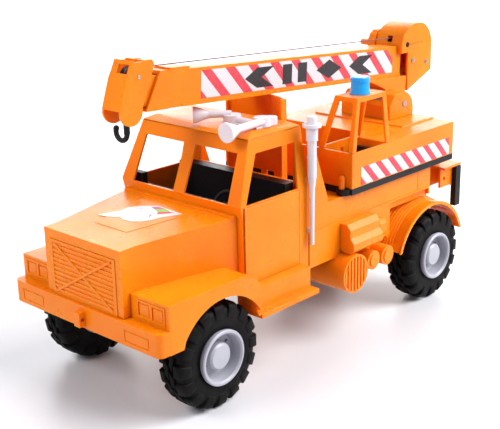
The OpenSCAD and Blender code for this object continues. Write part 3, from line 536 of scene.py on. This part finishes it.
def add_hoist_line(frame, material):
    """The line from the winch over the head pulley to the hook.
    It is four tubes that meet end to end: one rides on the extension, and the other three are fixed in
    place."""
    radius = 0.5 * MM
    # Where the tubes meet and the line ends, above and below the axis that the hook swings about
    bend_top_rise, bend_end_rise, drop_below = 14 * MM, 3.6 * MM, 4.5 * MM
    overlap = 0.05 * MM
    pulley = joint_place(frame, "pulley_turn")
    exit_place = joint_place(frame, "hook_swing")
    wrap = abs(exit_place.y - pulley.y)
    low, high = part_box("hoist_line")
    drum_end = Vector((0, high.y, low.z + radius))
    lean = math.atan2(pulley.z + wrap - drum_end.z, drum_end.y - pulley.y)

    def on_pulley(angle):
        """A point of the line round the pulley, at the angle from straight up."""
        return pulley + Vector((0, math.sin(angle), math.cos(angle))) * wrap

    top = on_pulley(lean)
    run = tube("line_over_boom", between(drum_end, top, 40), radius, material)
    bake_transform(run)
    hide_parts("hoist_line")

    steps = 10
    arc = [on_pulley(lean * (1 - i / steps) - math.pi / 2 * (i / steps)) for i in range(steps + 1)]
    bend_top = exit_place + Vector((0, 0, bend_top_rise))
    bend_end = exit_place + Vector((0, 0, bend_end_rise))
    seam = Vector((0, 0, overlap))
    over = tube("line_over_pulley", arc + between(arc[-1], bend_top + seam, 8)[1:], radius, material)
    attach(over, "extension")
    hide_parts("head_line")

    bend = tube("line_below_pulley", between(bend_top, bend_end + seam, 20), radius, material)
    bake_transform(bend)

    drop_end = exit_place - Vector((0, 0, drop_below))
    drop = tube("line_to_hook", between(bend_end, drop_end, 16), radius, material)
    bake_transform(drop)
    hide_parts("hook_line")


# ---- printed marks ----

def add_plate(shape, outline, place, normal, thickness):
    """Adds a thin plate to the shape: the outline's points, and the same ones lifted along the normal.
    Place is a function that carries an outline's point into the scene."""
    low = [shape.verts.new(place(u, v)) for u, v in outline]
    high = [shape.verts.new(place(u, v) + normal * thickness) for u, v in outline]
    shape.faces.new(low)
    shape.faces.new(high)
    for i in range(len(outline)):
        j = (i + 1) % len(outline)
        shape.faces.new((low[i], low[j], high[j], high[i]))


# Outlines in a unit square, as (towards the back, up)
ARROW = [(0.0, 0.5), (0.42, 1.0), (1.0, 1.0), (0.58, 0.5), (1.0, 0.0), (0.42, 0.0)]
BAR_BACK = [(0.0, 0.0), (0.34, 0.0), (0.34, 1.0), (0.0, 1.0)]
BAR_FRONT = [(0.56, 0.0), (0.90, 0.0), (0.90, 1.0), (0.56, 1.0)]
DIAMOND = [(0.0, 0.5), (0.5, 1.0), (1.0, 0.5), (0.5, 0.0)]
# Each mark's outlines and where it starts along the boom, in millimetres
BOOM_MARKS = [([ARROW], -46.0), ([BAR_BACK, BAR_FRONT], 3.0), ([DIAMOND], 50.0), ([ARROW], 99.0)]


def add_boom_marks(material):
    """Black shapes over the stripes, on both sides of the boom: arrow, bars, diamond, arrow."""
    # A mark's size and its bottom, from the boom's middle line, and how far out the film's surface is
    width, height, low = 37.0, 17.5, -8.0
    film_x = 10.86
    turn = Matrix.Rotation(-BOOM_TILT, 3, "X")
    shape = bmesh.new()
    for side in (-1, 1):
        for outlines, start in BOOM_MARKS:
            def on_boom(u, v):
                """A point of the unit square, on the boom's side."""
                flat = turn @ Vector((0, start + u * width, low + v * height))
                return (flat + Vector((side * film_x, 0, BOOM_MID_Z / MM))) * MM
            for outline in outlines:
                add_plate(shape, outline, on_boom, Vector((side, 0, 0)), 0.06 * MM)
    piece = object_from_bmesh("boom_label_marks", shape, material, smooth=False)
    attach(piece, "boom")


# The hood label's middle, the hood's rise over its length, and how far the label is turned on it
HOOD_LABEL_PLACE = Vector((-7 * MM, -157 * MM, 142.66 * MM))
HOOD_LABEL_SLOPE = math.atan2(4.4, 114.0)
HOOD_LABEL_TURN = math.radians(39)
# Patches of ink, in millimetres from the label's middle
HOOD_MARKS = [
    ("ink_magenta", [(8.5, 14), (14.5, 14), (22, 7.6), (12, 8.4)]),
    ("ink_green", [(12.2, 8.1), (22, 7.3), (26.4, 1.0), (16, 0.9)]),
    ("ink_red", [(16.2, 0.7), (25.4, 0.6), (30.5, -2.6), (16.2, -5)]),
    ("ink_slate", [(-25.6, 0), (-17, 2.5), (-14.4, -2.3), (-17, -6)]),
    ("ink_pink", [(-17, -6.4), (-14, -3), (-8, -9), (-9, -10)]),
    ("ink_magenta", [(10.6, -4.8), (11.8, -4.8), (11.5, -11), (10.3, -11)]),
    ("ink_slate", [(-10, 7), (-9, 11), (-8, 11), (-9, 7)]),
    ("ink_slate", [(-6, 9), (-1, 12), (-1, 11), (-6, 8)]),
    ("ink_slate", [(-7, 4), (-6, 7), (-5, 7), (-6, 4)]),
    ("ink_slate", [(-3, 2), (3, 6), (3, 5), (-3, 1)]),
    ("ink_slate", [(0, 9), (1, 13), (2, 13), (1, 9)]),
    ("ink_slate", [(4, 8), (7, 11), (7, 10), (4, 7)]),
]


def add_hood_marks(materials):
    """Small coloured patches printed on the hood label, in its own slanted frame."""
    film = 0.26 * MM
    turn = Matrix.Rotation(HOOD_LABEL_SLOPE, 3, "X") @ Matrix.Rotation(HOOD_LABEL_TURN, 3, "Z")
    normal = turn @ Vector((0, 0, 1))
    top = HOOD_LABEL_PLACE + normal * film

    def on_label(u, v):
        """A point on the label's top."""
        return top + turn @ Vector((u, v, 0)) * MM

    for number, (ink, outline) in enumerate(HOOD_MARKS):
        shape = bmesh.new()
        add_plate(shape, outline, on_label, normal, 0.05 * MM)
        piece = object_from_bmesh(f"hood_label_mark_{number}", shape, materials[ink], smooth=False)
        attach(piece, "truck")


# ---- stage ----

FLOOR_SIZE = 14.0
# Soft boxes: name, place, the point it looks at, size in metres and power in watts
SOFT_BOXES = [
    ("back_box", (-2.1, 2.6, 1.5), (0, 0, 0.15), 3.0, 90.0),
    ("rear_left_box", (0.75, 0.75, 0.65), (0.03, 0.12, 0.17), 0.5, 9.0),
    ("head_fill", (-0.1, -0.75, 0.62), (0, -0.18, 0.22), 0.3, 4.0),
]
ROOM_COLOUR = (0.95, 0.95, 1.0)
ROOM_LIGHT = 0.44
SUN_DIRECTION = Vector((-0.75, -0.42, -1.0))
SUN_LIGHT = 3.3
SUN_SPREAD = math.radians(40)

# Yaw turns the camera to the left of +Y, pitch tips it up, and roll turns it about its own view
CAMERA_PLACE = (0.60268, -0.67404, 0.39660)
CAMERA_YAW = math.radians(43.16)
CAMERA_PITCH = math.radians(-17.94)
CAMERA_ROLL = math.radians(-1.17)
CAMERA_LENS = 73.73


def add_floor():
    """A wide pale table top with a faint reflection."""
    bpy.ops.mesh.primitive_plane_add(size=FLOOR_SIZE, location=(0, 0, 0))
    floor = bpy.context.object
    floor.name = "floor"
    material, tree, shader = new_material("pale_floor")
    place = object_coordinates(tree)
    shade = remap(tree, noise(tree, place, scale=1.4), MIDDLE)
    tree.links.new(mix_colour(tree, shade, FLOOR_LIGHT, FLOOR_DARK), shader.inputs["Base Color"])
    sheen = remap(tree, noise(tree, place, scale=8.0), MIDDLE, (0.32, 0.42))
    tree.links.new(sheen, shader.inputs["Roughness"])
    floor.data.materials.append(material)


def facing(direction):
    """The turn that points a light along the direction."""
    return direction.to_track_quat("-Z", "Y").to_euler()


def add_soft_box(name, place, target, size, power):
    """A square soft light that looks at the target."""
    data = bpy.data.lights.new(name, "AREA")
    data.shape = "SQUARE"
    data.size = size
    data.energy = power
    light = bpy.data.objects.new(name, data)
    light.location = place
    light.rotation_euler = facing(Vector(target) - Vector(place))
    bpy.context.scene.collection.objects.link(light)


def add_lights():
    """A wide soft sun from behind the left side, and the soft boxes, in a pale room."""
    world = bpy.data.worlds.new("studio")
    bpy.context.scene.world = world
    world.use_nodes = True
    background = world.node_tree.nodes["Background"]
    background.inputs["Color"].default_value = rgba(ROOM_COLOUR)
    background.inputs["Strength"].default_value = ROOM_LIGHT
    data = bpy.data.lights.new("window_light", "SUN")
    data.energy = SUN_LIGHT
    data.angle = SUN_SPREAD
    sun = bpy.data.objects.new("window_light", data)
    sun.rotation_euler = facing(SUN_DIRECTION)
    bpy.context.scene.collection.objects.link(sun)
    for soft_box in SOFT_BOXES:
        add_soft_box(*soft_box)


def add_camera():
    """The camera, looking down at the truck's front left corner."""
    level = math.cos(CAMERA_PITCH)
    forward = Vector((-math.sin(CAMERA_YAW) * level, math.cos(CAMERA_YAW) * level, math.sin(CAMERA_PITCH)))
    right = Vector((math.cos(CAMERA_YAW), math.sin(CAMERA_YAW), 0))
    up = right.cross(forward)
    x_axis = right * math.cos(CAMERA_ROLL) + up * math.sin(CAMERA_ROLL)
    y_axis = up * math.cos(CAMERA_ROLL) - right * math.sin(CAMERA_ROLL)
    data = bpy.data.cameras.new("camera")
    data.lens = CAMERA_LENS
    data.sensor_width = 36.0
    camera = bpy.data.objects.new("camera", data)
    turn = Matrix((x_axis, y_axis, -forward)).transposed()
    camera.matrix_world = Matrix.Translation(CAMERA_PLACE) @ turn.to_4x4()
    bpy.context.scene.collection.objects.link(camera)
    bpy.context.scene.camera = camera


def main():
    """Dresses the frame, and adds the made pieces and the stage."""
    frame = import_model()
    bpy.context.scene.view_settings.view_transform = "Standard"
    materials = build_materials()
    dress_cad_nodes(frame, materials)
    add_tyres(materials["tyre_plastic"])
    add_hoist_line(frame, materials["line"])
    add_boom_marks(materials["ink_black"])
    add_hood_marks(materials)
    add_floor()
    add_lights()
    add_camera()


main()
